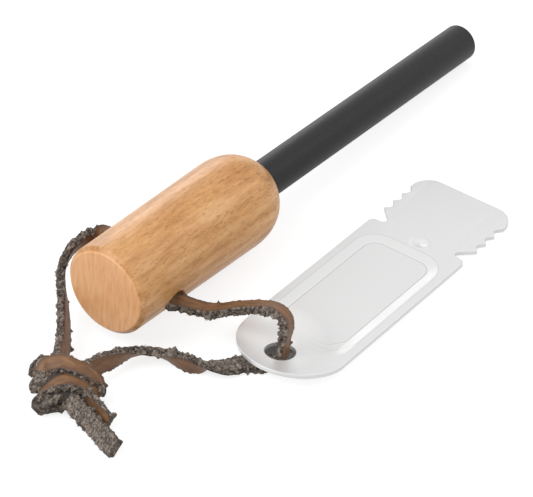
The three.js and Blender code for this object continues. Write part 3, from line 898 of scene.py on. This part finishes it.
# %% Outline of the blank
STRIKER_LONG, STRIKER_WIDE, SHEET = 70, 22.7, 1
STRIKER_HOLE, STRIKER_HOLE_AT, CORNER = 3, 6.4, 4.4
NOTCH_AT, NOTCH_DEEP, NOTCH_FLOOR, NOTCH_SHOULDER, NOTCH_FLANK = 51.6, 3, 1, 1.2, math.radians(48)
TOOTH_START, TOOTH_PITCH, TOOTH_DEEP, TOOTH_FLOOR, TOOTH_GAPS = 55.746, 3.1, 1, 0.8, 3
HALF = STRIKER_WIDE / 2


def arc(x, y, radius, start, end, steps=12):
    turns = [start + (end - start) * i / steps for i in range(steps + 1)]
    return [(x + radius * math.cos(t), y + radius * math.sin(t)) for t in turns]


quarter = math.pi / 2
edge_line = arc(NOTCH_AT - NOTCH_SHOULDER, NOTCH_SHOULDER, NOTCH_SHOULDER, -quarter, 0, 6)
edge_line += arc(NOTCH_AT + NOTCH_FLOOR, NOTCH_DEEP - NOTCH_FLOOR, NOTCH_FLOOR, 2 * quarter,
                 quarter - NOTCH_FLANK)
for i in range(TOOTH_GAPS):
    tooth = TOOTH_START + i * TOOTH_PITCH
    gap = tooth + TOOTH_PITCH / 2
    edge_line += [(tooth, 0), (gap - TOOTH_FLOOR / 2, TOOTH_DEEP), (gap + TOOTH_FLOOR / 2, TOOTH_DEEP)]
edge_line += [(TOOTH_START + TOOTH_GAPS * TOOTH_PITCH, 0)]
edge_line += arc(STRIKER_LONG - CORNER, CORNER, CORNER, -quarter, 0, 16)
outline = [(x, inset - HALF) for x, inset in edge_line]
outline += [(x, HALF - inset) for x, inset in reversed(edge_line)]
outline += arc(HALF, 0, HALF, quarter, 3 * quarter, 64)[:-1]
print("outline", len(outline), "points")

# %% [markdown]
# The outline and the hole become one filled curve, and Solidify gives it the sheet's thickness. The
# rims are rounded a little, as tumbling leaves them.

# %% Blank the sheet
drawing = bpy.data.curves.new("striker_outline", "CURVE")
drawing.dimensions, drawing.fill_mode = "2D", "BOTH"
for points in (outline, arc(STRIKER_HOLE_AT, 0, STRIKER_HOLE, 0, 4 * quarter, 64)[:-1]):
    spline = drawing.splines.new("POLY")
    spline.points.add(len(points) - 1)
    for p, (x, y) in zip(spline.points, points):
        p.co = (x, y, 0, 1)
    spline.use_cyclic_u = True
striker = bpy.data.objects.new("steel_striker", drawing)
bpy.context.collection.objects.link(striker)
pick(striker)
bpy.ops.object.convert(target="MESH")
striker = bpy.context.object
modify(striker, "SOLIDIFY", thickness=SHEET, offset=0)
shape = bmesh.new()
shape.from_mesh(striker.data)
bmesh.ops.remove_doubles(shape, verts=shape.verts, dist=0.001)
bmesh.ops.recalc_face_normals(shape, faces=shape.faces)
rims = [e for e in shape.edges if len(e.link_faces) == 2
        and sorted(abs(f.normal.z) > 0.5 for f in e.link_faces) == [False, True]]
bmesh.ops.bevel(shape, geom=rims, offset=0.13, segments=3, affect="EDGES", profile=0.5)
shape.to_mesh(striker.data)
shape.free()
print("rim edges", len(rims), "faces", len(striker.data.polygons))

# %% [markdown]
# The press moves the metal but keeps its thickness. Bisect first cuts the sheet into a fine grid,
# closest round the dimple.

# %% Cut a grid for the press
PANEL_NEAR, PANEL_FAR, PANEL_HALF, PANEL_CORNER = 9.7, 48.6, 9.8, 5.4
PANEL_DEEP, PANEL_WALL, PANEL_RAMP = 0.5, 2.4, 5.0


def even_cuts(axis, start, step, count):
    return [(axis, start + step * i) for i in range(count)]


cuts = even_cuts(0, 0.5, 0.5, 96) + even_cuts(0, 48.4, 0.2, 24)
cuts += even_cuts(1, -10, 0.4, 51) + even_cuts(1, -3.1, 0.4, 10)
bpy.ops.object.mode_set(mode="EDIT")
for axis, distance in cuts:
    way = Vector([float(axis == k) for k in range(3)])
    bpy.ops.mesh.select_all(action="SELECT")
    bpy.ops.mesh.bisect(plane_co=way * distance, plane_no=way)
bpy.ops.object.mode_set(mode="OBJECT")
print("grid", len(striker.data.polygons), "faces")

# %% [markdown]
# The press pushes the panel down inside a round-cornered wall, with a longer ramp at the near end.
# The dimple is a small dent in a soft ring. Before the panel, the near end is bent up a little, so
# that the lace can pass below it. Each point keeps its distance inside the wall for the painted
# highlight and shade lines along the panel's rims, and less than it on the ramp, where these lines fade.

# %% Press the panel and the dimple, bend the near end
DIMPLE_AT, DIMPLE_RADIUS, DIMPLE_DEEP, NEAR_END_UP = (50.6, -1.2), 1.3, 0.35, 1.35
# The ring's height, and its place and half width as shares of the dimple's radius.
RING_UP, RING_AT, RING_HALF = 0.12, 1.25, 0.5
BEND_SOFT, PAINTED_LINES_SPAN = 0.8, 3


def eased(t):
    """From 0 to 1 with short round ends and a straight slope between."""
    t, bend = min(max(t, 0), 1), 0.16
    if t < bend:
        return t * t / (2 * bend * (1 - bend))
    if t > 1 - bend:
        return 1 - (1 - t) ** 2 / (2 * bend * (1 - bend))
    return (t - bend / 2) / (1 - bend)


def inside_wall(x, y):
    """How far inside the panel's rim a point lies, in millimetres."""
    middle_x, half_x = (PANEL_NEAR + PANEL_FAR) / 2, (PANEL_FAR - PANEL_NEAR) / 2
    dx, dy = abs(x - middle_x) - (half_x - PANEL_CORNER), abs(y) - (PANEL_HALF - PANEL_CORNER)
    return PANEL_CORNER - (math.hypot(max(dx, 0), max(dy, 0)) + min(max(dx, dy), 0))


def pressed(x, y):
    """How far down the press moves the sheet at a point, in millimetres."""
    down = PANEL_DEEP * eased(inside_wall(x, y) / PANEL_WALL) * eased((x - PANEL_NEAR) / PANEL_RAMP)
    from_dimple = math.hypot(x - DIMPLE_AT[0], y - DIMPLE_AT[1]) / DIMPLE_RADIUS
    dent = DIMPLE_DEEP * (1 - eased(from_dimple))
    ring = RING_UP * (1 - eased(abs(from_dimple - RING_AT) / RING_HALF))
    return down + dent - ring


def bent_up(x):
    """Height that the bend gives the near end, with a soft start at the panel."""
    along = max(PANEL_NEAR + BEND_SOFT - x, 0)
    soft = along * along / (4 * BEND_SOFT)
    return NEAR_END_UP / PANEL_NEAR * (soft if along < 2 * BEND_SOFT else along - BEND_SOFT)


rim_distances = striker.data.attributes.new("inside_wall", "FLOAT", "POINT")
for i, v in enumerate(striker.data.vertices):
    fade = PAINTED_LINES_SPAN * (1 - eased((v.co.x - PANEL_NEAR - PAINTED_LINES_SPAN) / PANEL_RAMP))
    rim_distances.data[i].value = inside_wall(v.co.x, v.co.y) - fade
    v.co.z += SHEET / 2 - pressed(v.co.x, v.co.y) + bent_up(v.co.x)
print("deepest press", round(pressed((PANEL_NEAR + PANEL_FAR) / 2, 0), 2), "mm")

# %% [markdown]
# The striker lies tilted, with its near end up on the lace and its far end on the table.

# %% Lay the striker down
STRIKER_END, LACE_PLAY = (8.6, -30.1), 0.3
STRIKER_RISE = (LACE_THICKNESS + LACE_PLAY) * STRIKER_LONG / (STRIKER_LONG - STRIKER_HOLE_AT)
STRIKER_TILT = math.asin(STRIKER_RISE / STRIKER_LONG)
lay(striker, Matrix.Translation((*STRIKER_END, STRIKER_RISE)) @ Matrix.Rotation(STRIKER_TILT, 4, "Y"), 50)
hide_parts("striker")
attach(striker, "striker")

# %% [markdown]
# ## Wood, rod, steel and glue
#
# Steamed beech is a light orange tan. The growth rings run nearly level through the handle. Where
# they meet the turned side they draw stripes, and where a ring only touches it, an oval. The shader
# works in the handle's own axes: one Mapping node takes it there, and a second one turns the rings'
# direction onto Z and stretches them along the grain.

# %% Beech, growth rings
beech, tree, shader = new_material("turned_steamed_beech", "#cf985f", 0.45, Specular_IOR_Level=0.4,
                                   Coat_Weight=0.15, Coat_Roughness=0.25)
lined_up = add(tree, "Mapping", {"Vector": object_space(tree), "Location": at(0, 0, BUTT_HEIGHT),
                                 "Rotation": (0, TILT, 0)}, vector_type="TEXTURE").outputs[0]
growth = add(tree, "Mapping", {"Vector": lined_up, "Rotation": (math.radians(-11), 0, 0),
                               "Scale": (0.16, 1, 1), "Location": (0, 0, 0.0004)})
rings = add(tree, "TexWave", {"Vector": growth.outputs[0], "Scale": 120.0, "Distortion": 6.0,
                              "Detail": 2.0, "Detail Scale": 0.5, "Detail Roughness": 0.45},
            bands_direction="Z", wave_profile="SIN").outputs["Fac"]
fine = noisy(tree, stretched(tree, lined_up, (200, 1300, 1300)), detail=4.0, roughness=0.6)
broad = noisy(tree, stretched(tree, lined_up, (70, 200, 200)))
tone = maths(tree, "MULTIPLY_ADD", rings, 0.08, maths(tree, "MULTIPLY", fine, 0.45))
tones = maths(tree, "MULTIPLY_ADD", broad, 0.45, tone)
wood = ramp(tree, tones, (0.34, "#b37b44"), (0.5, "#cf985f"), (0.66, "#e0af7b"))
print("beech ring nodes", len(tree.nodes))

# %% [markdown]
# Beech has short dark dashes along its side, one to three millimetres long, where its rays and pores
# are cut. A noise stretched along the grain gives them, cut off at a level that the rings shift. The
# end grain has none: it is pinker and shows faint lines.

# %% Beech, dashes and end grain
dash = noisy(tree, stretched(tree, lined_up, (800, 3000, 3000)), detail=1.0)
late = maths(tree, "MULTIPLY_ADD", rings, -0.06, dash)
flecked = mixed(tree, ranged(tree, late, 0.53, 0.68, 0.0, 0.42), wood, colour("#8a5527"))
on_end = ranged(tree, add(tree, "SeparateXYZ", {0: lined_up}).outputs["X"], 0.00035, 0.0001)
end_space = stretched(tree, lined_up, (1, 1300, 260), turn=(0.5, 0, 0))
end_lines = noisy(tree, end_space, detail=4.0, roughness=0.6)
end_wood = ramp(tree, end_lines, (0.3, "#e3a36c"), (0.5, "#ecb17c"), (0.7, "#f2bc8b"))
connect(tree, shader, {"Base Color": mixed(tree, on_end, flecked, end_wood),
                       "Normal": bumped(tree, fine, 0.12, 0.0001)})
dress(handle, beech)

# %% [markdown]
# The rod's coating is a thin charcoal lacquer over a cast alloy: dark and dull, with a soft sheen
# along the top and a fine grit.

# %% Coated ferrocerium
coated, tree, shader = new_material("coated_cast_ferrocerium", "#202021", 0.5, Specular_IOR_Level=0.26)
grit = noisy(tree, object_space(tree), 2500.0, 4.0, 0.7)
connect(tree, shader, {"Base Color": ramp(tree, grit, (0.3, "#1c1c1d"), (0.7, "#29292b")),
                       "Normal": bumped(tree, grit, 0.25, 0.0001)})
dress(rod, coated)

# %% [markdown]
# The striker is tumbled stainless sheet: pale, softly polished, with a faint cloudiness. Its colour
# carries painted lines where the panel's rounded rims catch the light: a thin painted shade line along
# the panel's rim, and along its floor a clearer painted highlight with painted shade beside it. A ramp
# draws them from each point's distance inside the rim. Below the lace the sheet is painted brighter,
# against the shade that the arch and the handle cast there.

# %% Stainless steel
BELOW_ARCH = (17, -25, 3)
steel, tree, shader = new_material("tumbled_stainless_sheet", "#dcdcdc", 0.42, Metallic=0.5)
cloud = noisy(tree, object_space(tree), 120.0, 3.0)
within = add(tree, "Attribute", attribute_name="inside_wall").outputs["Fac"]
# Painted highlight and shade lines along the panel's rounded rims, drawn from the distance inside the rim.
lines = ramp(tree, maths(tree, "MULTIPLY", within, 1 / PAINTED_LINES_SPAN), (0.0, "#dcdcdc"), (0.04, "#c6c6c6"),
             (0.09, "#dcdcdc"), (0.68, "#dcdcdc"), (0.73, "#f0f0f0"), (0.79, "#bababa"), (0.86, "#dcdcdc"))
# Painted light: the sheet under the lace arch is made brighter, against the shade that the arch and the
# handle cast on it.
painted_light_below_arch = ranged(tree, distance_from(tree, BELOW_ARCH), 0.012, 0.006)
connect(tree, shader, {"Base Color": mixed(tree, painted_light_below_arch, lines, colour("#f2f2f2")),
                       "Roughness": ranged(tree, cloud, 0.0, 1.0, 0.36, 0.48)})
dress(striker, steel)

# %% [markdown]
# The glue in the bottom of the bore is hidden. It is amber epoxy.

# %% Glue
glue, tree, shader = new_material("set_amber_epoxy", "#cdbf9a", 0.35)
bubbles = noisy(tree, object_space(tree), 900.0)
connect(tree, shader, {"Base Color": ramp(tree, bubbles, (0.35, "#b9a67c"), (0.65, "#d8cba8"))})
dress(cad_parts["rod_glue"], glue)

# %% [markdown]
# ## Table and light
#
# The table is a wide white sheet. The camera sees it lit up to white, as in a light tent, and the
# soft shade under the object stays. Below the striker's hole hardly any light reaches the sheet, so
# an ambient occlusion node takes the glow away there, as long as the striker covers the place.

# %% Table
SEEN_THROUGH_HOLE = (18.0, -29.1, 0)


def looked_along(tree):
    """1 for the camera's own rays, and for their reflections and what shows through things."""
    rays = add(tree, "LightPath").outputs
    seen = maths(tree, "MAXIMUM", rays["Is Camera Ray"], rays["Is Glossy Ray"])
    return maths(tree, "MAXIMUM", seen, rays["Is Transmission Ray"])


nothing_selected()
bpy.ops.mesh.primitive_plane_add(size=4, location=(0, 0, 0))
table = made("table")
paper, tree, shader = new_material("white_card", "#a6a6a6", 1, Specular_IOR_Level=0)
sky = add(tree, "AmbientOcclusion", {"Distance": 0.011}, samples=12).outputs["AO"]
far_off = ranged(tree, distance_from(tree, SEEN_THROUGH_HOLE), 0.0042, 0.0055)
reached = ranged(tree, maths(tree, "MAXIMUM", far_off, sky), 0.3, 0.75, 0.0, 0.76)
glow = maths(tree, "MULTIPLY", looked_along(tree), reached)
connect(tree, shader, {"Emission Color": (1, 1, 1, 1), "Emission Strength": glow})
dress(table, paper)

# %% [markdown]
# Three wide soft boxes stand above: the brightest to the left, and two weaker ones to the right and
# in front. A low one behind draws a light strip along the upper edges of the handle and the rod. The
# world fills the rest with even white light, and shows as pure white to the camera and in
# reflections.

# %% Lights
for name, where, size, power in (("soft_box_left", (-0.5, 0.3, 0.7), 0.6, 4.2),
                                 ("soft_box_right", (0.5, -0.5, 0.7), 0.6, 1.5),
                                 ("soft_box_front", (-0.4, -0.6, 0.5), 0.5, 1.3),
                                 ("soft_box_back", (0.6, 0.8, 0.22), 0.4, 1.6)):
    bpy.ops.object.light_add(type="AREA", location=where)
    lamp = made(name)
    lamp.data.size, lamp.data.energy = size, power
    lamp.rotation_euler = (-Vector(where)).to_track_quat("-Z", "Y").to_euler()
world = bpy.data.worlds.new("light_tent")
bpy.context.scene.world = world
world.use_nodes = True
tree = world.node_tree
level = ranged(tree, looked_along(tree), 0.0, 1.0, 0.55, 1.0)
connect(tree, tree.nodes["Background"], {"Color": (1, 1, 1, 1), "Strength": level})
bpy.context.scene.view_settings.view_transform = "Standard"
